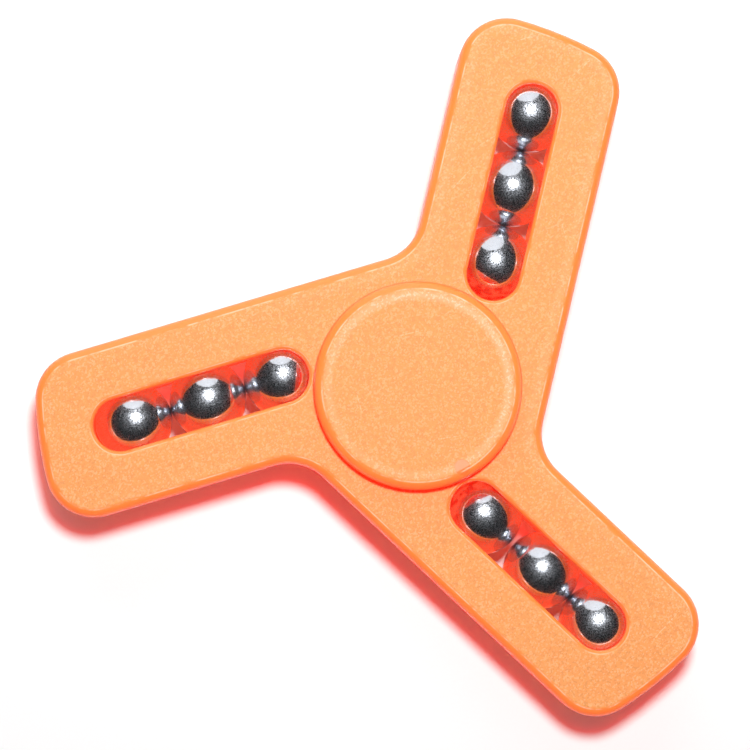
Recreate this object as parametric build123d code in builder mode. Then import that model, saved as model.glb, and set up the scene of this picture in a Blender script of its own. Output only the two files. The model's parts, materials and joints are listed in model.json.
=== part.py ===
"""Fidget spinner: a two-shell pinwheel body on a size 608 ball bearing, with nine loose steel balls.

Millimetres, +Z up along the spin axis. The origin is the centre of the lower finger cap's outer face,
which is what the spinner stands on. Arm a points along +Y, and arms b and c follow counter-clockwise.
"""

from build123d import *
import os
from math import cos, hypot, radians, sin, sqrt

# Body outline
arm_angles = {"a": 90, "b": 210, "c": 330}
arm_offset = 5.9  # the arm's middle line passes this far to the right of the spin axis
side_wall = 5.34  # from the race to the arm's side
tip_wall = 5.35  # from the race to the arm's tip
tip_corner_radius = 5.9
root_fillet_radius = 6.2

# Body shells
edge_rounding = 1.2
parting_chamfer = 0.12
outer_wall = 1.6
race_wall = 1.3
face_wall = 1.4
smallest_pocket_area = 3.0

# Weight balls and their race
ball_diameter = 9.525
balls_per_arm = 3
ball_recess = 0.0375  # how far the balls' tops lie under the body's faces
race_clearance = 0.1
race_hub_wall = 0.75  # from the race's inner end to the bearing's seat, at the thinnest
train_play = 1.8  # how far an arm's balls can slide together
slot_width = 6.5
slot_edge_rounding = 0.65

# Where the ball train of each arm lies at rest, and the space behind its inner ball
train_shift = {"a": 1.65, "b": 0.1, "c": 1.44}
inner_ball_gap = {"a": 0.0, "b": 0.0, "c": 0.33}

# Locating pins that hold the shells together
pin_diameter = 1.8
pin_length = 2.6
pin_boss_diameter = 3.8
pin_clearance = 0.02
pin_hole_floor_gap = 0.2
tip_pin_angle = 57  # where the outer pins stand, round the race's outer end

# Bearing, size 608
bearing_bore = 8.0
bearing_diameter = 22.0
bearing_width = 7.0
inner_shoulder_diameter = 12.1
outer_shoulder_diameter = 17.9
bearing_ball_count = 7
bearing_ball_diameter = 3.969
bearing_pitch_diameter = 15.0
groove_clearance = 0.06
bearing_corner = 0.3
shield_thickness = 0.3
shield_recess = 0.2
shield_seat_width = 0.45
shield_gap = 0.2
seat_clearance = 0.02
seat_lip = 1.2  # how far each shell's lip covers the outer ring

# Bearing cage
cage_thickness = 0.3
cage_width = 1.8
cage_clearance = 0.06
rivet_diameter = 0.7
rivet_head_diameter = 1.3
rivet_head_height = 0.2
rivet_clearance = 0.02

# Finger caps
cap_diameter = 25.6
cap_height = 2.8  # above the body's face
cap_gap = 0.4  # running gap between cap and body
cap_rim_rounding = 1.25
cap_under_rounding = 0.4
cap_boss_diameter = 11.2
post_clearance = 0.02
post_gap = 0.2  # between the ends of the two posts
post_chamfer = 0.3
peg_diameter = 4.0
peg_length = 3.8
peg_clearance = 0.02
socket_floor_gap = 0.3

# Worked out from the sizes above
ball_radius = ball_diameter / 2
body_half = ball_radius + ball_recess
mid = body_half + cap_height  # height of the parting plane, with the lower cap's face at zero
mid_plane = Plane.XY.offset(mid)
bearing_half = bearing_width / 2
seat_radius = bearing_diameter / 2 + seat_clearance
race_radius = ball_radius + race_clearance
race_start = sqrt((seat_radius + race_hub_wall + race_radius) ** 2 - arm_offset**2)
race_length = (balls_per_arm - 1) * ball_diameter + train_play
race_end = race_start + race_length
race_middle = race_start + race_length / 2
arm_width = 2 * (race_radius + side_wall)
spinner_radius = hypot(race_end + race_radius + tip_wall, arm_offset)  # the tips lie on this circle
pin_reach = race_radius + side_wall / 2
tip_pin_along = race_end + pin_reach * cos(radians(tip_pin_angle))
tip_pin_across = pin_reach * sin(radians(tip_pin_angle))
pin_places = [  # along and across the arm
    (race_middle, pin_reach),
    (race_middle, -pin_reach),
    (tip_pin_along, tip_pin_across),
    (tip_pin_along, -tip_pin_across),
]
pitch_radius = bearing_pitch_diameter / 2
bearing_ball_radius = bearing_ball_diameter / 2
groove_radius = bearing_ball_radius + groove_clearance
cage_pocket_radius = bearing_ball_radius + cage_clearance
ball_step = 360 / bearing_ball_count

nodes = {}


def arm_plane(angle):
    """Horizontal plane at mid height, with X along an arm's middle line and its origin beside the hub."""
    outward = Vector(cos(radians(angle)), sin(radians(angle)))
    right = Vector(outward.Y, -outward.X)
    return Plane(Vector(0, 0, mid) + right * arm_offset, x_dir=outward, z_dir=(0, 0, 1))


def arm_section_plane(angle):
    """Vertical plane through an arm's middle line, with X along the arm and Y up."""
    flat = arm_plane(angle)
    return Plane(flat.origin, x_dir=flat.x_dir, z_dir=flat.x_dir.cross(Vector(0, 0, 1)))


def corners_by_reach(sketch):
    """A sketch's corners in groups, from the nearest to the spin axis to the furthest."""
    return sketch.vertices().group_by(lambda corner: round(hypot(corner.X, corner.Y), 3))


def keep(name, builder):
    """Label a finished piece and file it under its node's name."""
    builder.part.label = name
    nodes[name] = builder.part


# Pinwheel outline, at mid height
with BuildSketch(mid_plane) as outline:
    Circle(seat_radius + outer_wall)
    for angle in arm_angles.values():
        with Locations(Location((0, 0, 0), (0, 0, angle))):
            with Locations((-arm_width / 2, -arm_offset)):
                Rectangle(spinner_radius + arm_width, arm_width, align=(Align.MIN, Align.CENTER))
    Circle(spinner_radius, mode=Mode.INTERSECT)
    fillet(corners_by_reach(outline)[-1], radius=tip_corner_radius)
    fillet(corners_by_reach(outline)[0], radius=root_fillet_radius)

# Hollow spaces in each shell, between the outer wall, the races, the bearing seat and the pin bosses
with BuildSketch(mid_plane) as pockets:
    add(outline.sketch)
    offset(amount=-outer_wall, mode=Mode.REPLACE)
    Circle(seat_radius + outer_wall, mode=Mode.SUBTRACT)
    for angle in arm_angles.values():
        with Locations(Location((0, 0, 0), (0, 0, angle))):
            with Locations((race_middle, -arm_offset)):
                SlotCenterToCenter(race_length, 2 * (race_radius + race_wall), mode=Mode.SUBTRACT)
            with Locations([(along, across - arm_offset) for along, across in pin_places]):
                Circle(pin_boss_diameter / 2, mode=Mode.SUBTRACT)

# What the two shells share, as the upper one
with BuildPart() as shell:
    add(outline.sketch)
    extrude(amount=body_half)
    fillet(shell.faces().sort_by(Axis.Z)[-1].edges(), radius=edge_rounding)
    chamfer(shell.faces().sort_by(Axis.Z)[0].edges(), length=parting_chamfer)
    for angle in arm_angles.values():
        with BuildSketch(arm_plane(angle)):
            with Locations((race_middle, 0)):
                SlotCenterToCenter(race_length, slot_width)
        extrude(amount=body_half, mode=Mode.SUBTRACT)
    top_face = shell.faces().sort_by(Axis.Z)[-1]
    fillet([edge for wire in top_face.inner_wires() for edge in wire.edges()], radius=slot_edge_rounding)
    for angle in arm_angles.values():
        section = arm_section_plane(angle)
        with BuildSketch(section):
            with Locations((race_middle, 0)):
                SlotCenterToCenter(race_length, 2 * race_radius)
            with Locations((race_middle, 0)):
                Rectangle(
                    race_length + 4 * race_radius, 2 * race_radius,
                    align=(Align.CENTER, Align.MAX), mode=Mode.SUBTRACT,
                )
        revolve(axis=Axis(section.origin, section.x_dir), mode=Mode.SUBTRACT)
    with BuildSketch(mid_plane):
        Circle(seat_radius)
    extrude(amount=bearing_half, mode=Mode.SUBTRACT)
    with BuildSketch(mid_plane):
        Circle(bearing_diameter / 2 - seat_lip)
    extrude(amount=body_half, mode=Mode.SUBTRACT)
    hollows = [face for face in pockets.sketch.faces() if face.area > smallest_pocket_area]
    extrude(to_extrude=hollows, amount=body_half - face_wall, mode=Mode.SUBTRACT)

with BuildPart() as upper_shell:
    add(shell.part)
    for angle in arm_angles.values():
        with BuildSketch(arm_plane(angle)):
            with Locations(pin_places):
                Circle(pin_diameter / 2 + pin_clearance)
        extrude(amount=pin_length + pin_hole_floor_gap, mode=Mode.SUBTRACT)
keep("upper_shell", upper_shell)

with BuildPart() as lower_shell:
    add(shell.part)
    mirror(about=mid_plane, mode=Mode.REPLACE)
    for angle in arm_angles.values():
        with BuildSketch(arm_plane(angle)):
            with Locations(pin_places):
                Circle(pin_diameter / 2)
        extrude(amount=pin_length)
keep("lower_shell", lower_shell)


def build_weight_ball(name, angle, along):
    """One loose steel ball, its centre on the arm's middle line."""
    centre = arm_plane(angle).from_local_coords((along, 0, 0))
    with BuildPart(Plane(centre)) as ball:
        Sphere(ball_radius)
    keep(name, ball)


for arm, angle in arm_angles.items():
    for index in range(balls_per_arm):
        along = race_start + train_shift[arm] + index * ball_diameter
        along += inner_ball_gap[arm] if index else 0
        build_weight_ball(f"weight_ball_{arm}{index + 1}", angle, along)


def build_ring(name, inner_radius, outer_radius, with_shield_seats):
    """One bearing ring with its ball groove."""
    with BuildPart() as ring:
        with BuildSketch(Plane.XZ):
            with Locations(((inner_radius + outer_radius) / 2, mid)):
                Rectangle(outer_radius - inner_radius, bearing_width)
            if with_shield_seats:
                seat_depth = shield_recess + shield_thickness
                for height, side in ((mid + bearing_half, Align.MAX), (mid - bearing_half, Align.MIN)):
                    with Locations((inner_radius, height)):
                        Rectangle(shield_seat_width, seat_depth, align=(Align.MIN, side), mode=Mode.SUBTRACT)
            with Locations((pitch_radius, mid)):
                Circle(groove_radius, mode=Mode.SUBTRACT)
        revolve(axis=Axis.Z)
        wall = outer_radius if with_shield_seats else inner_radius
        rims = ring.edges().filter_by(GeomType.CIRCLE)
        fillet([rim for rim in rims if abs(rim.radius - wall) < 0.001], radius=bearing_corner)
    keep(name, ring)


inner_shoulder = inner_shoulder_diameter / 2
outer_shoulder = outer_shoulder_diameter / 2
build_ring("bearing_inner_ring", bearing_bore / 2, inner_shoulder, False)
build_ring("bearing_outer_ring", outer_shoulder, bearing_diameter / 2, True)


def build_shield(name, base_height):
    """A thin dust shield, held in the outer ring and clear of the inner one."""
    with BuildPart() as shield:
        with BuildSketch(Plane.XY.offset(base_height)):
            Circle(outer_shoulder + shield_seat_width)
            Circle(inner_shoulder + shield_gap, mode=Mode.SUBTRACT)
        extrude(amount=shield_thickness)
    keep(name, shield)


build_shield("bearing_shield_upper", mid + bearing_half - shield_recess - shield_thickness)
build_shield("bearing_shield_lower", mid - bearing_half + shield_recess)

for index in range(bearing_ball_count):
    turn = radians(index * ball_step)
    with BuildPart(Plane((pitch_radius * cos(turn), pitch_radius * sin(turn), mid))) as bearing_ball:
        Sphere(bearing_ball_radius)
    keep(f"bearing_ball_{index + 1}", bearing_ball)

# Ribbon cage: flat webs between the balls and a domed pocket over each, as the upper half
with BuildPart(mid_plane) as cage_half:
    with BuildSketch(mid_plane):
        Circle(pitch_radius + cage_width / 2)
        Circle(pitch_radius - cage_width / 2, mode=Mode.SUBTRACT)
    extrude(amount=cage_thickness)
    with PolarLocations(pitch_radius, bearing_ball_count):
        Sphere(cage_pocket_radius + cage_thickness)
    with BuildSketch(mid_plane):
        Circle(pitch_radius + cage_width / 2)
        Circle(pitch_radius - cage_width / 2, mode=Mode.SUBTRACT)
    extrude(amount=bearing_half, mode=Mode.INTERSECT)
    with PolarLocations(pitch_radius, bearing_ball_count):
        Sphere(cage_pocket_radius, mode=Mode.SUBTRACT)
    with BuildSketch(mid_plane):
        with PolarLocations(pitch_radius, bearing_ball_count, start_angle=ball_step / 2):
            Circle(rivet_diameter / 2 + rivet_clearance)
    extrude(amount=cage_thickness, mode=Mode.SUBTRACT)
keep("bearing_cage_upper", cage_half)

with BuildPart() as cage_lower:
    add(cage_half.part)
    mirror(about=mid_plane, mode=Mode.REPLACE)
keep("bearing_cage_lower", cage_lower)

with BuildPart() as rivets:
    with BuildSketch(mid_plane):
        with PolarLocations(pitch_radius, bearing_ball_count, start_angle=ball_step / 2):
            Circle(rivet_diameter / 2)
    extrude(amount=cage_thickness, both=True)
    for height, direction in ((mid + cage_thickness, 1), (mid - cage_thickness, -1)):
        with BuildSketch(Plane.XY.offset(height)):
            with PolarLocations(pitch_radius, bearing_ball_count, start_angle=ball_step / 2):
                Circle(rivet_head_diameter / 2)
        extrude(amount=direction * rivet_head_height)
keep("bearing_cage_rivets", rivets)


# What the two finger caps share, as the upper one: plate, boss on the inner ring, post in its bore
with BuildPart() as cap:
    plate_bottom = mid + body_half + cap_gap
    with BuildSketch(Plane.XY.offset(plate_bottom)):
        Circle(cap_diameter / 2)
    extrude(amount=cap_height - cap_gap)
    fillet(cap.edges().sort_by(Axis.Z)[-1], radius=cap_rim_rounding)
    fillet(cap.edges().sort_by(Axis.Z)[0], radius=cap_under_rounding)
    with BuildSketch(Plane.XY.offset(mid + bearing_half)):
        Circle(cap_boss_diameter / 2)
    extrude(amount=body_half + cap_gap - bearing_half)
    with BuildSketch(Plane.XY.offset(mid + post_gap / 2)):
        Circle(bearing_bore / 2 - post_clearance)
    extrude(amount=bearing_half - post_gap / 2)
    chamfer(cap.edges().sort_by(Axis.Z)[0], length=post_chamfer)

with BuildPart() as upper_cap:
    add(cap.part)
    with BuildSketch(mid_plane):
        Circle(peg_diameter / 2 + peg_clearance)
    extrude(amount=peg_length + socket_floor_gap, mode=Mode.SUBTRACT)
keep("upper_cap", upper_cap)

with BuildPart() as lower_cap:
    add(cap.part)
    mirror(about=mid_plane, mode=Mode.REPLACE)
    with BuildSketch(Plane.XY.offset(mid - post_gap / 2)):
        Circle(peg_diameter / 2)
    extrude(amount=peg_length + post_gap / 2)
keep("lower_cap", lower_cap)

os.makedirs("parts", exist_ok=True)
for name, part in nodes.items():
    export_step(part, f"parts/{name}.step")
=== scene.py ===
"""The looks of a pinwheel fidget spinner: moulded orange plastic, polished steel balls and a small stage."""

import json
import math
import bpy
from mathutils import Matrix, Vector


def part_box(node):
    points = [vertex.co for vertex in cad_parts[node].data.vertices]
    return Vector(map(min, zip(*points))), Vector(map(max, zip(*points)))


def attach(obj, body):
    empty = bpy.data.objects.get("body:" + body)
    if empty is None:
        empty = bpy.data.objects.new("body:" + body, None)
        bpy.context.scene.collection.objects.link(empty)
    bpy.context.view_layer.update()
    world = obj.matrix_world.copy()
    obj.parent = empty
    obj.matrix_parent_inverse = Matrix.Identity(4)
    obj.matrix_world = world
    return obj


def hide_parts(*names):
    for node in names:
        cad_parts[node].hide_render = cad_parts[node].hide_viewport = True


bl_info = {
    "name": "Pinwheel Fidget Spinner",
    "version": (1, 0, 0),
    "blender": (4, 5, 0),
    "location": "View3D > Sidebar > Spinner",
    "description": "Finishes the pieces of a pinwheel fidget spinner and sets them on a pale stage",
    "category": "Object",
}

import bpy
from bpy.props import FloatProperty, FloatVectorProperty, IntProperty, PointerProperty
from mathutils import Matrix, Vector

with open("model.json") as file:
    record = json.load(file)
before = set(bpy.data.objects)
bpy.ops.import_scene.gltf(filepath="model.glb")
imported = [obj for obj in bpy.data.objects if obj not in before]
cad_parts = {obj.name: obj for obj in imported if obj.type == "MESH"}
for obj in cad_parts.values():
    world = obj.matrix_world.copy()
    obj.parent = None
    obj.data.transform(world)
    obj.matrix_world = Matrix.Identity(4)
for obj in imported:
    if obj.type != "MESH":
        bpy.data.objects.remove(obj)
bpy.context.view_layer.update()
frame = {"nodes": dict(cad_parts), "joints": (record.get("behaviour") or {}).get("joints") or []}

MM = 0.001
BALL_NODES = sorted(name for name in frame["nodes"] if name.startswith("weight_ball_"))

CAP_RIM_ROUNDING = 1.25 * MM
BODY_EDGE_ROUNDING = 1.2 * MM
TIP_BEYOND_BALL = 10.3 * MM  # from the outermost ball's centre to the arm's tip

# Scratches, each from a start to an end, in mm on the plan of the spinner
BODY_SCRATCHES = (
    ((3.4, 33.4), (0.6, 30.6)), ((9.4, 41.0), (11.4, 44.0)), ((1.0, 43.6), (4.2, 45.4)),
    ((12.2, 24.4), (13.9, 21.4)), ((-1.8, 24.0), (0.3, 27.6)), ((-24.2, -6.2), (-21.4, -3.8)),
    ((-34.6, -23.6), (-31.2, -25.0)), ((-12.0, -13.6), (-9.8, -15.9)),
    ((29.0, -27.4), (30.6, -24.4)), ((37.6, -19.6), (35.4, -23.6)), ((22.4, -8.0), (24.9, -9.2)),
)
CAP_SCRATCHES = (((-4.0, 5.2), (-1.2, 6.6)), ((3.0, -6.2), (6.4, -4.8)), ((-7.4, -2.2), (-5.9, -5.0)))
SCRATCH_HALF_WIDTH = 0.07 * MM
CAP_GATE = ((7.5, -8.5), 1.0)  # centre and radius of the gate mark, in mm on the plan

# Lamps, by direction from the spinner's middle in the view's own axes
KEY_FROM, KEY_DISTANCE, KEY_AIM, KEY_RADIUS = (0.06, 0.25, 1.0), 0.60, (0.005, 0.065, 0), 0.042
TOP_FROM, TOP_DISTANCE, TOP_SIZE = (-0.10, 1.0, 0.42), 0.50, 0.55

# The floor shows its shadows out to the first radius, and is plain white from the second
FLOOR_RADIUS, FLOOR_SHADOWED, FLOOR_WHITE = 0.6, 0.053, 0.085


def middle_of(node):
    """The centre of a CAD node's box at rest."""
    low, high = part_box(node)
    return (low + high) / 2


MID_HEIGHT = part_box("upper_shell")[0].z
BODY_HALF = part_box("upper_shell")[1].z - MID_HEIGHT
CAP_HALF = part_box("upper_cap")[1].z - MID_HEIGHT
CAP_RADIUS = (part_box("upper_cap")[1].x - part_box("upper_cap")[0].x) / 2
ARM_AXES = {
    joint["name"][len("weight_ball_"): len("weight_ball_") + 1]: Vector(joint["axis"])
    for joint in frame["joints"]
    if joint["name"].startswith("weight_ball_")
}
ARM_OFFSET = middle_of("weight_ball_a1").x


# Settings that a user would change


class SpinnerPlasticSettings(bpy.types.PropertyGroup):
    """Colours and finish of the moulded plastic."""

    face_colour: FloatVectorProperty(
        name="Face colour", description="Textured flat faces", subtype="COLOR",
        size=3, min=0, max=1, default=(0.90, 0.320, 0.074),
    )
    edge_colour: FloatVectorProperty(
        name="Edge colour", description="Smooth rounded edges", subtype="COLOR",
        size=3, min=0, max=1, default=(0.90, 0.280, 0.060),
    )
    # Painted shade: the side walls and the insides of the races are coloured darker and redder than the
    # faces, standing in for light that reaches them only through the orange plastic
    shaded_wall_colour: FloatVectorProperty(
        name="Shaded wall colour", description="Side walls and the insides of the races", subtype="COLOR",
        size=3, min=0, max=1, default=(0.88, 0.120, 0.040),
    )
    # The colour of scuffs and rubbed corners, used also for the painted highlight on one side of the flat's
    # pale border
    worn_and_highlight_colour: FloatVectorProperty(
        name="Worn and highlight colour", description="Scuffs and rubbed corners", subtype="COLOR",
        size=3, min=0, max=1, default=(0.92, 0.62, 0.40),
    )
    # Painted glow: an emission colour in the hollows of the races
    glow_colour: FloatVectorProperty(
        name="Glow colour", description="Light gathered in the hollows", subtype="COLOR",
        size=3, min=0, max=1, default=(0.72, 0.090, 0.035),
    )
    # Painted glow: an emission colour on the rounded edges and walls
    rim_glow_colour: FloatVectorProperty(
        name="Rim glow colour", description="Light that reaches the rounded edges from inside",
        subtype="COLOR", size=3, min=0, max=1, default=(0.40, 0.0, 0.0),
    )
    shade_tint: FloatVectorProperty(
        name="Shade tint", description="What one wall lets through of a lamp's light", subtype="COLOR",
        size=3, min=0, max=1, default=(0.76, 0.05, 0.07),
    )
    grain: FloatProperty(
        name="Grain", description="Size of the spark-eroded texture's grains", unit="LENGTH",
        min=0, default=0.19 * MM,
    )
    arm_width: FloatProperty(
        name="Arm width", description="Side to side", unit="LENGTH", min=0, default=20.4 * MM,
    )
    glow_depth: FloatProperty(
        name="Glow depth", description="How far light spreads inside the plastic", unit="LENGTH",
        min=0, default=1.2 * MM,
    )


class SpinnerSteelSettings(bpy.types.PropertyGroup):
    """Finish of the steel balls."""

    ball_cuts: IntProperty(
        name="Ball cuts", description="Cuts across each side of the cube that a ball starts as",
        min=1, default=30,
    )
    pit_size: FloatProperty(
        name="Pit size", description="Size of the pits in the polish", unit="LENGTH",
        min=0, default=0.22 * MM,
    )
    steel_colour: FloatVectorProperty(
        name="Steel colour", description="Polished bearing steel", subtype="COLOR",
        size=3, min=0, max=1, default=(0.70, 0.73, 0.79),
    )


class SpinnerStageSettings(bpy.types.PropertyGroup):
    """Camera, lamps and floor."""

    camera_distance: FloatProperty(
        name="Camera distance", description="From the lens to the spinner's middle", unit="LENGTH",
        min=0, default=0.5426,
    )
    lens: FloatProperty(
        name="Lens", description="Focal length", unit="CAMERA", min=1, default=210.06,
    )
    camera_turn: FloatProperty(
        name="Camera turn", description="How far the view is turned about the spin axis",
        subtype="ANGLE", default=math.radians(13.32),
    )
    lean_right: FloatProperty(
        name="Lean right", description="The camera's lean towards the view's right",
        subtype="ANGLE", default=math.radians(-1.475),
    )
    lean_up: FloatProperty(
        name="Lean up", description="The camera's lean towards the view's top",
        subtype="ANGLE", default=math.radians(-1.576),
    )
    hub_right: FloatProperty(
        name="Hub right", description="The hub's place right of the view's centre",
        unit="LENGTH", default=5.126 * MM,
    )
    hub_up: FloatProperty(
        name="Hub up", description="The hub's place above the view's centre",
        unit="LENGTH", default=-1.471 * MM,
    )
    key_watts: FloatProperty(
        name="Key lamp", description="Small lamp beside the camera", unit="POWER", min=0, default=15.6,
    )
    key_cone: FloatProperty(
        name="Key cone", description="The whole angle of the key lamp's cone", subtype="ANGLE",
        min=0, default=math.radians(48),
    )
    top_watts: FloatProperty(
        name="Top lamp", description="Low soft box beyond the view's top", unit="POWER",
        min=0, default=0.85,
    )
    fill: FloatProperty(
        name="Fill", description="Light from all round", min=0, default=0.13,
    )
    gloom: FloatProperty(
        name="Gloom", description="How bright the room looks in the steel", min=0, default=0.022,
    )


# Shader maths


class Value:
    """A number socket that works in Python expressions, each of which adds its Math nodes."""

    def __init__(self, finish, socket):
        self.finish, self.socket = finish, socket

    def maths(self, operation, *others, clamp=False):
        sockets = {index: other for index, other in enumerate((self, *others))}
        node = self.finish.node(
            "ShaderNodeMath", {"operation": operation, "use_clamp": clamp}, sockets
        )
        return Value(self.finish, node.outputs[0])

    def __add__(self, other):
        return self.maths("ADD", other)

    __radd__ = __add__

    def __sub__(self, other):
        return self.maths("SUBTRACT", other)

    def __rsub__(self, other):
        return (self * -1).maths("ADD", other)

    def __mul__(self, other):
        return self.maths("MULTIPLY", other)

    __rmul__ = __mul__

    def __truediv__(self, other):
        return self.maths("DIVIDE", other)

    def __pow__(self, other):
        return self.maths("POWER", other)

    def __abs__(self):
        return self.maths("ABSOLUTE")

    def at_least(self, other):
        return self.maths("MAXIMUM", other)

    def at_most(self, other):
        return self.maths("MINIMUM", other)

    def rise(self, low, high):
        """0 below low and 1 above high, smooth between them. With high under low it falls."""
        share = self.maths("SUBTRACT", low).maths("DIVIDE", high - low, clamp=True)
        return share * share * (3 - 2 * share)

    def band(self, centre, half_width):
        """1 at centre, falling to 0 at half_width each side."""
        return abs(self - centre).rise(half_width, 0)


class Finish:
    """The nodes of a material, or of the world, under construction."""

    def __init__(self, owner):
        owner.use_nodes = True
        self.owner, self.tree = owner, owner.node_tree
        self.tree.nodes.clear()

    def node(self, kind, settings, sockets):
        """A node of that type, with its settings set first, then the values or links of its sockets."""
        made = self.tree.nodes.new(kind)
        for name, setting in settings.items():
            setattr(made, name, setting)
        for key, given in sockets.items():
            given = given.socket if isinstance(given, Value) else given
            if isinstance(given, bpy.types.NodeSocket):
                self.tree.links.new(given, made.inputs[key])
            else:
                made.inputs[key].default_value = given
        return made

    def place(self):
        """X, Y and Z in the spinner's own frame, and the three together as one socket."""
        spot = self.node("ShaderNodeTexCoord", {}, {}).outputs["Object"]
        parts = self.node("ShaderNodeSeparateXYZ", {}, {0: spot}).outputs
        return (*(Value(self, part) for part in parts), spot)

    def noise(self, spot, size, detail=2.0, roughness=0.5):
        """Smooth noise from 0 to 1, whose blotches are about that size."""
        sockets = {"Vector": spot, "Scale": 1 / size, "Detail": detail, "Roughness": roughness}
        return Value(self, self.node("ShaderNodeTexNoise", {}, sockets).outputs["Fac"])

    def grains(self, spot, size):
        """Small cells of about that size, each with its own value round 0.5."""
        sockets = {"Vector": spot, "Scale": 1 / size}
        return Value(self, self.node("ShaderNodeTexVoronoi", {}, sockets).outputs["Color"])

    def mix(self, share, first, second):
        """A colour between two others."""
        first, second = (
            (*colour, 1) if not isinstance(colour, bpy.types.NodeSocket) else colour
            for colour in (first, second)
        )
        sockets = {0: share, 6: first, 7: second}
        return self.node("ShaderNodeMix", {"data_type": "RGBA"}, sockets).outputs[2]

    def bump(self, height, distance, strength=1.0, over=None):
        """A normal that follows height, which runs from 0 to 1 over that distance."""
        sockets = {"Height": height, "Distance": distance, "Strength": strength}
        if over is not None:
            sockets["Normal"] = over
        return self.node("ShaderNodeBump", {}, sockets).outputs["Normal"]

    def surface(self, shader, output="ShaderNodeOutputMaterial"):
        """Sends a shader to the output, and returns what it is the finish of."""
        self.node(output, {}, {"Surface": shader})
        return self.owner


# Finishes


def reach_of(x, y):
    """The distance from the spin axis."""
    return (x * x + y * y).maths("SQRT")


def scratches(finish, x, y, lines):
    """1 on each fine scratch, given as (start, end) in the spinner's plan."""
    total = None
    for (x0, y0), (x1, y1) in lines:
        start, run = Vector((x0, y0)) * MM, Vector((x1 - x0, y1 - y0)) * MM
        along = run.normalized()
        far = (x - start.x) * along.x + (y - start.y) * along.y
        aside = (y - start.y) * along.x - (x - start.x) * along.y
        past = abs(far - run.length / 2) - run.length / 2
        mark = aside.band(0, SCRATCH_HALF_WIDTH) * past.rise(0.3 * MM, -0.9 * MM)
        total = mark if total is None else total.at_least(mark)
    return total


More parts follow.
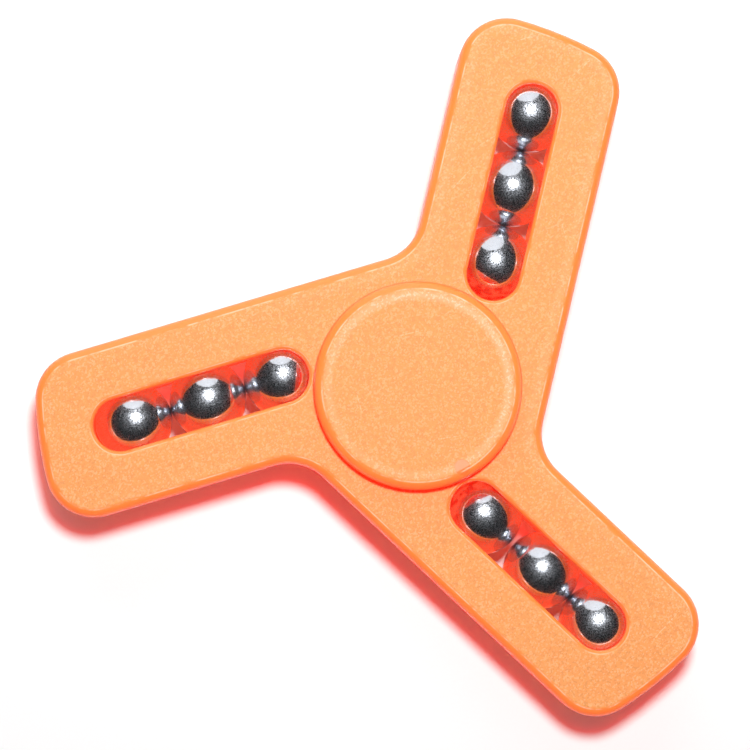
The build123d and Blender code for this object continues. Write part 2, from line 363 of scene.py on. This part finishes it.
def plastic(name, settings, half_height, inside, marks, halo_share, gate=None):
    """Moulded plastic with a spark-eroded flat face and smooth rounded edges, painted shade on its walls, a
    painted highlight on its flat's border and a painted glow.

    half_height is from the parting plane to the flat faces, inside gives the distance in from the flat's
    edge, marks lists the scratches, halo_share is how strongly the flat's pale border is painted, as rubbed
    wear with a painted highlight on one side, and gate is the centre and radius of a smooth gate mark.
    """
    finish = Finish(bpy.data.materials.new(name))
    x, y, z, spot = finish.place()
    height = abs(z - MID_HEIGHT)
    drop = half_height - height
    # flat is 1 on the flat faces and fades as they turn over, and side is 1 on the walls, which take the
    # painted shade colour
    flat = drop.rise(0.030 * MM, 0.004 * MM)
    side = drop.rise(0.35 * MM, 1.5 * MM)
    if gate:
        (gate_x, gate_y), gate_radius = gate
        off = reach_of(x - gate_x * MM, y - gate_y * MM)
        mark = off.rise(gate_radius * MM, gate_radius * MM - 0.08 * MM)
        flat = flat * (1 - mark)
        # The smooth gate mark takes a little of the walls' painted shade colour
        side = side.at_least(mark * 0.3)
    edge_distance = inside(finish, x, y)

    grain = finish.grains(spot, settings.grain)
    coarse = finish.noise(spot, settings.grain * 2.6, detail=2.0)
    cloud = finish.noise(spot, 7 * MM, detail=3.0)
    sparkle = grain.rise(0.55, 0.85)
    pits = grain.rise(0.45, 0.15)

    # Pale marks: a broken pale line where the flat turns over, and a grainy halo just inside it, which is
    # rubbed wear and also a painted highlight, brighter on the side the light falls from
    patchy = finish.noise(spot, 2.6 * MM, detail=4.0, roughness=0.65)
    line = drop.band(0.040 * MM, 0.034 * MM) * patchy.rise(0.38, 0.58)
    # Painted highlight: the halo is painted brighter towards +y and +x, on the side the light falls from
    lit = ((y * 0.9 + x * 0.45) / (half_height * 2)).rise(-1.2, 1.0)
    halo = edge_distance.band(0.5 * MM, 0.9 * MM) * flat * (sparkle * 0.6 + 0.4) * (lit * 0.75 + 0.25)
    scuff = finish.noise(spot, 0.8 * MM, detail=3.0, roughness=0.7).rise(0.70, 0.80) * flat
    scored = scratches(finish, x, y, marks) * flat * grain.rise(0.30, 0.52)
    # This mask holds the real wear together with the halo's painted highlight
    worn_and_lit = (line * 0.85 + halo * halo_share + scuff * 0.5 + scored * 0.75).at_most(1)

    duller = [c * 0.985 for c in settings.face_colour]
    face = finish.mix(cloud.rise(0.35, 0.70), settings.face_colour, duller)
    face = finish.mix(sparkle * 0.30, face, settings.worn_and_highlight_colour)
    face = finish.mix(pits * 0.45, face, [c * 0.7 for c in settings.face_colour])
    # Painted shade: the walls are coloured darker and redder than the faces
    body = finish.mix(side, settings.edge_colour, settings.shaded_wall_colour)
    colour = finish.mix(flat, body, face)
    colour = finish.mix(worn_and_lit, colour, settings.worn_and_highlight_colour)

    # Painted glow: emission stands in for the light that the walls pass on to each other and that gathers in
    # the hollows; blotches dim it, most at the inner ends of the races, as painted shade
    hollow = drop.rise(0.5 * MM, 2.0 * MM) * edge_distance.rise(1.5 * MM, 4.5 * MM)
    inner_end = reach_of(x, y).rise(18 * MM, 16.4 * MM)
    blotch = finish.noise(spot, 1.5 * MM, detail=3.0).rise(0.56, 0.44)
    dimmed = 1 - (inner_end * 0.8 + 0.1) * blotch
    # Painted glow: the rounded edges and walls glow red as though lit from inside
    rim_glow = finish.mix(1 - flat, (0.0, 0.0, 0.0), settings.rim_glow_colour)
    glow = finish.mix(hollow * dimmed, rim_glow, settings.glow_colour)

    roughness = 0.30 + flat * 0.26 + grain * flat * 0.10 + worn_and_lit * 0.10
    swirl = finish.noise(spot, 0.9 * MM, detail=3.0)
    normal = finish.bump((grain * 0.6 + coarse * 0.4) * flat, 0.030 * MM, 0.9)
    normal = finish.bump(swirl * (1 - flat), 0.010 * MM, 0.5, over=normal)

    shader = finish.node(
        "ShaderNodeBsdfPrincipled",
        {"subsurface_method": "RANDOM_WALK"},
        {
            "Base Color": colour,
            "Roughness": roughness,
            "Normal": normal,
            # The painted glow is sent out as emission
            "Emission Color": glow,
            "Emission Strength": 1.0,
            "Subsurface Weight": 0.25,
            "Subsurface Radius": (1.0, 0.30, 0.12),
            "Subsurface Scale": settings.glow_depth,
            "IOR": 1.49,
        },
    )
    through = finish.node("ShaderNodeBsdfTransparent", {}, {"Color": (*settings.shade_tint, 1)})
    rays = finish.node("ShaderNodeLightPath", {}, {})
    mixed = finish.node(
        "ShaderNodeMixShader", {},
        {0: rays.outputs["Is Shadow Ray"], 1: shader.outputs[0], 2: through.outputs[0]},
    )
    return finish.surface(mixed.outputs[0])


def body_inside(settings):
    """The distance in from the pinwheel's flat edge, as a function of a finish and a place."""
    half_width = settings.arm_width / 2

    def distance(finish, x, y):
        nearest = None
        for axis in ARM_AXES.values():
            along = x * axis.x + y * axis.y
            across = y * axis.x - x * axis.y + ARM_OFFSET
            depth = (half_width - abs(across)).at_most(along + half_width)
            nearest = depth if nearest is None else nearest.maths("SMOOTH_MAX", depth, 6 * MM)
        tip = max(middle_of(name).xy.length for name in BALL_NODES) + TIP_BEYOND_BALL
        return nearest.maths("SMOOTH_MIN", tip - reach_of(x, y), 4 * MM) - BODY_EDGE_ROUNDING

    return distance


def cap_inside(finish, x, y):
    """The distance in from the edge of a finger cap's flat face."""
    return CAP_RADIUS - CAP_RIM_ROUNDING - reach_of(x, y)


def ball_steel(settings):
    """Polished bearing steel with fine pits and a faint haze."""
    finish = Finish(bpy.data.materials.new("polished_ball_steel"))
    spot = finish.place()[3]
    haze = finish.noise(spot, settings.pit_size * 0.3, detail=0.0)
    fine = finish.noise(spot, settings.pit_size, detail=2.0, roughness=0.7)
    smear = finish.noise(spot, 2.4 * MM, detail=3.0)
    pits = fine.rise(0.56, 0.68)
    colour = finish.mix(pits * 0.30, settings.steel_colour, [c * 0.6 for c in settings.steel_colour])
    roughness = 0.05 + smear.rise(0.35, 0.75) * 0.06 + haze.rise(0.52, 0.60) * 0.26 + pits * 0.20
    normal = finish.bump(fine, 0.007 * MM, 0.40)
    shader = finish.node(
        "ShaderNodeBsdfPrincipled", {},
        {"Base Color": colour, "Metallic": 1.0, "Roughness": roughness, "Normal": normal},
    )
    return finish.surface(shader.outputs[0])


def turned_steel(name, colour, roughness, groove):
    """Ring or sheet steel with fine turning lines round the spin axis."""
    finish = Finish(bpy.data.materials.new(name))
    x, y, z, spot = finish.place()
    reach = reach_of(x, y)
    lines = finish.node("ShaderNodeCombineXYZ", {}, {0: reach, 1: z * 0.6}).outputs[0]
    turning = finish.noise(lines, groove, detail=3.0, roughness=0.7)
    stain = finish.noise(spot, 1.6 * MM, detail=3.0)
    tone = finish.mix(stain.rise(0.45, 0.75) * 0.4, colour, [c * 0.7 for c in colour])
    shader = finish.node(
        "ShaderNodeBsdfPrincipled", {},
        {
            "Base Color": tone,
            "Metallic": 1.0,
            "Roughness": roughness + turning * 0.18,
            "Normal": finish.bump(turning, 0.004 * MM, 0.6),
        },
    )
    return finish.surface(shader.outputs[0])


# Modelling helpers


def deselect_all():
    if bpy.context.object and bpy.context.object.mode != "OBJECT":
        bpy.ops.object.mode_set(mode="OBJECT")
    bpy.ops.object.select_all(action="DESELECT")


def take(piece):
    """Makes piece the only selected object, and the active one."""
    deselect_all()
    piece.select_set(True)
    bpy.context.view_layer.objects.active = piece


def settle(piece):
    """Puts a piece's place into its mesh."""
    take(piece)
    bpy.ops.object.transform_apply(location=True, rotation=True, scale=True)


def paint(piece, material):
    """Gives every slot of a piece one material."""
    if not piece.data.materials:
        piece.data.materials.append(material)
    for slot in piece.material_slots:
        slot.material = material


def finish_piece(piece, name, body, material):
    """Names a new piece, gives it its material, and lets it ride on its body."""
    piece.name = piece.data.name = name
    paint(piece, material)
    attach(piece, body)
    return piece


# Operators, one for each piece or group of like pieces


class SPINNER_OT_body_shells(bpy.types.Operator):
    """Finish the two moulded shells of the body"""

    bl_idname = "spinner.body_shells"
    bl_label = "Body shells"

    def execute(self, context):
        settings = context.scene.spinner_plastic
        material = plastic(
            "moulded_body_plastic", settings, BODY_HALF, body_inside(settings), BODY_SCRATCHES, 0.2
        )
        for node in ("upper_shell", "lower_shell"):
            paint(frame["nodes"][node], material)
        return {"FINISHED"}


class SPINNER_OT_finger_caps(bpy.types.Operator):
    """Finish the finger caps on both sides"""

    bl_idname = "spinner.finger_caps"
    bl_label = "Finger caps"

    def execute(self, context):
        settings = context.scene.spinner_plastic
        material = plastic(
            "moulded_cap_plastic", settings, CAP_HALF, cap_inside, CAP_SCRATCHES, 0.95, gate=CAP_GATE
        )
        for node in ("upper_cap", "lower_cap"):
            paint(frame["nodes"][node], material)
        return {"FINISHED"}


class SPINNER_OT_weight_balls(bpy.types.Operator):
    """Model the nine loose steel balls, one from a cube and the others as its copies"""

    bl_idname = "spinner.weight_balls"
    bl_label = "Weight balls"

    def execute(self, context):
        settings = context.scene.spinner_steel
        material = ball_steel(settings)
        low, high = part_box(BALL_NODES[0])
        deselect_all()
        bpy.ops.mesh.primitive_cube_add(size=high.z - low.z)
        model = context.object
        bpy.ops.object.mode_set(mode="EDIT")
        bpy.ops.mesh.select_all(action="SELECT")
        bpy.ops.mesh.subdivide(number_cuts=settings.ball_cuts)
        bpy.ops.object.mode_set(mode="OBJECT")
        bpy.ops.object.modifier_add(type="CAST")
        cast = model.modifiers[-1]
        cast.cast_type, cast.factor, cast.size = "SPHERE", 1.0, (high.z - low.z) / 2
        cast.use_radius_as_size = False
        bpy.ops.object.modifier_apply(modifier=cast.name)
        bpy.ops.object.shade_smooth()
        for index, node in enumerate(BALL_NODES):
            take(model)
            bpy.ops.object.duplicate(linked=False)
            ball = context.object
            ball.rotation_euler = (0.7 * index, 1.1 * index, 0.4 * index)
            ball.location = middle_of(node)
            settle(ball)
            finish_piece(ball, node.replace("weight_ball", "steel_ball"), node, material)
            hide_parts(node)
        take(model)
        bpy.ops.object.delete()
        return {"FINISHED"}


class SPINNER_OT_bearing(bpy.types.Operator):
    """Finish the ball bearing inside the hub"""

    bl_idname = "spinner.bearing"
    bl_label = "Bearing"

    def execute(self, context):
        ring = turned_steel("ground_ring_steel", (0.62, 0.62, 0.64), 0.16, 0.05 * MM)
        sheet = turned_steel("pressed_sheet_steel", (0.52, 0.52, 0.53), 0.30, 0.12 * MM)
        balls = bpy.data.materials["polished_ball_steel"]
        for node, piece in frame["nodes"].items():
            if node.endswith("_ring"):
                paint(piece, ring)
            elif "shield" in node or "cage" in node:
                paint(piece, sheet)
            elif node.startswith("bearing_ball"):
                paint(piece, balls)
        return {"FINISHED"}


class SPINNER_OT_stage(bpy.types.Operator):
    """Set the camera, the lamps and a pale floor"""

    bl_idname = "spinner.stage"
    bl_label = "Stage"

    def execute(self, context):
        settings = context.scene.spinner_stage
        self.set_camera(context, settings)
        self.set_lamps(context, settings)
        self.set_floor()
        self.set_world(context, settings)
        context.scene.view_settings.view_transform = "Standard"
        return {"FINISHED"}

    def turn(self, settings):
        """The camera's directions, as a matrix from camera to world."""
        spin = Matrix.Rotation(-settings.camera_turn, 3, "Z")
        right = Matrix.Rotation(-settings.lean_right, 3, "Y")
        up = Matrix.Rotation(settings.lean_up, 3, "X")
        return (up @ right @ spin).transposed()

    def set_camera(self, context, settings):
        turn = self.turn(settings)
        away = Vector((-settings.hub_right, -settings.hub_up, settings.camera_distance))
        deselect_all()
        bpy.ops.object.camera_add()
        camera = context.object
        camera.name = "camera"
        camera.matrix_world = Matrix.LocRotScale(turn @ away + Vector((0, 0, MID_HEIGHT)), turn, None)
        camera.data.lens = settings.lens
        camera.data.clip_start, camera.data.clip_end = 0.01, 10
        context.scene.camera = camera

    def add_lamp(self, name, kind, direction, distance, aim, turn):
        """A lamp at a place and facing a point, both in the view's own axes."""
        middle = Vector((0, 0, MID_HEIGHT))
        place = turn @ (Vector(direction).normalized() * distance) + middle
        deselect_all()
        bpy.ops.object.light_add(type=kind, location=place)
        lamp = bpy.context.object
        lamp.name = name
        lamp.rotation_euler = (place - middle - turn @ Vector(aim)).to_track_quat("Z", "Y").to_euler()
        return lamp.data

    def set_lamps(self, context, settings):
        turn = self.turn(settings)
        key = self.add_lamp("key_lamp", "SPOT", KEY_FROM, KEY_DISTANCE, KEY_AIM, turn)
        key.energy, key.shadow_soft_size = settings.key_watts, KEY_RADIUS
        key.spot_size, key.spot_blend = settings.key_cone, 1.0
        top = self.add_lamp("top_lamp", "AREA", TOP_FROM, TOP_DISTANCE, (0, 0, 0), turn)
        top.energy, top.shape, top.size = settings.top_watts, "DISK", TOP_SIZE

    def set_floor(self):
        finish = Finish(bpy.data.materials.new("pale_floor"))
        x, y, _, spot = finish.place()
        reach = reach_of(x, y)
        speckle = finish.noise(spot, 0.4 * MM, detail=2.0)
        paper = finish.node(
            "ShaderNodeBsdfPrincipled", {},
            {
                "Base Color": finish.mix(speckle, (0.93, 0.93, 0.93), (0.96, 0.96, 0.96)),
                "Roughness": 0.9,
                "Specular IOR Level": 0.1,
            },
        )
        white = finish.node("ShaderNodeEmission", {}, {"Color": (1, 1, 1, 1), "Strength": 1.0})
        rays = finish.node("ShaderNodeLightPath", {}, {})
        seen = Value(finish, rays.outputs["Is Camera Ray"])
        mixed = finish.node(
            "ShaderNodeMixShader", {},
            {0: seen * reach.rise(FLOOR_SHADOWED, FLOOR_WHITE), 1: paper.outputs[0], 2: white.outputs[0]},
        )
        deselect_all()
        bpy.ops.mesh.primitive_circle_add(vertices=96, radius=FLOOR_RADIUS, fill_type="NGON")
        floor = bpy.context.object
        floor.name = "floor"
        paint(floor, finish.surface(mixed.outputs[0]))

    def set_world(self, context, settings):
        finish = Finish(bpy.data.worlds.new("studio"))
        rays = finish.node("ShaderNodeLightPath", {}, {}).outputs
        glossy, seen = Value(finish, rays["Is Glossy Ray"]), Value(finish, rays["Is Camera Ray"])
        level = glossy * (settings.gloom - settings.fill) + settings.fill
        level = level + seen * (1 - level)
        sky = finish.node("ShaderNodeBackground", {}, {"Color": (1, 1, 1, 1), "Strength": level})
        context.scene.world = finish.surface(sky.outputs[0], "ShaderNodeOutputWorld")


class SPINNER_PT_pieces(bpy.types.Panel):
    """Lists the spinner's pieces and their settings"""

    bl_idname = "SPINNER_PT_pieces"
    bl_label = "Fidget Spinner"
    bl_space_type = "VIEW_3D"
    bl_region_type = "UI"
    bl_category = "Spinner"

    def draw(self, context):
        for operator in OPERATORS:
            self.layout.operator(operator.bl_idname)
        for settings in (
            context.scene.spinner_plastic, context.scene.spinner_steel, context.scene.spinner_stage
        ):
            box = self.layout.box()
            for name in settings.__annotations__:
                box.prop(settings, name)


OPERATORS = (
    SPINNER_OT_body_shells,
    SPINNER_OT_finger_caps,
    SPINNER_OT_weight_balls,
    SPINNER_OT_bearing,
    SPINNER_OT_stage,
)
SETTINGS = {
    "spinner_plastic": SpinnerPlasticSettings,
    "spinner_steel": SpinnerSteelSettings,
    "spinner_stage": SpinnerStageSettings,
}


def register():
    for name, group in SETTINGS.items():
        bpy.utils.register_class(group)
        setattr(bpy.types.Scene, name, PointerProperty(type=group))
    for kind in (*OPERATORS, SPINNER_PT_pieces):
        bpy.utils.register_class(kind)


def unregister():
    for kind in reversed((*OPERATORS, SPINNER_PT_pieces)):
        bpy.utils.unregister_class(kind)
    for name, group in SETTINGS.items():
        delattr(bpy.types.Scene, name)
        bpy.utils.unregister_class(group)


def main():
    register()
    bpy.ops.spinner.body_shells()
    bpy.ops.spinner.finger_caps()
    bpy.ops.spinner.weight_balls()
    bpy.ops.spinner.bearing()
    bpy.ops.spinner.stage()
    deselect_all()


if __name__ == "__main__":
    main()
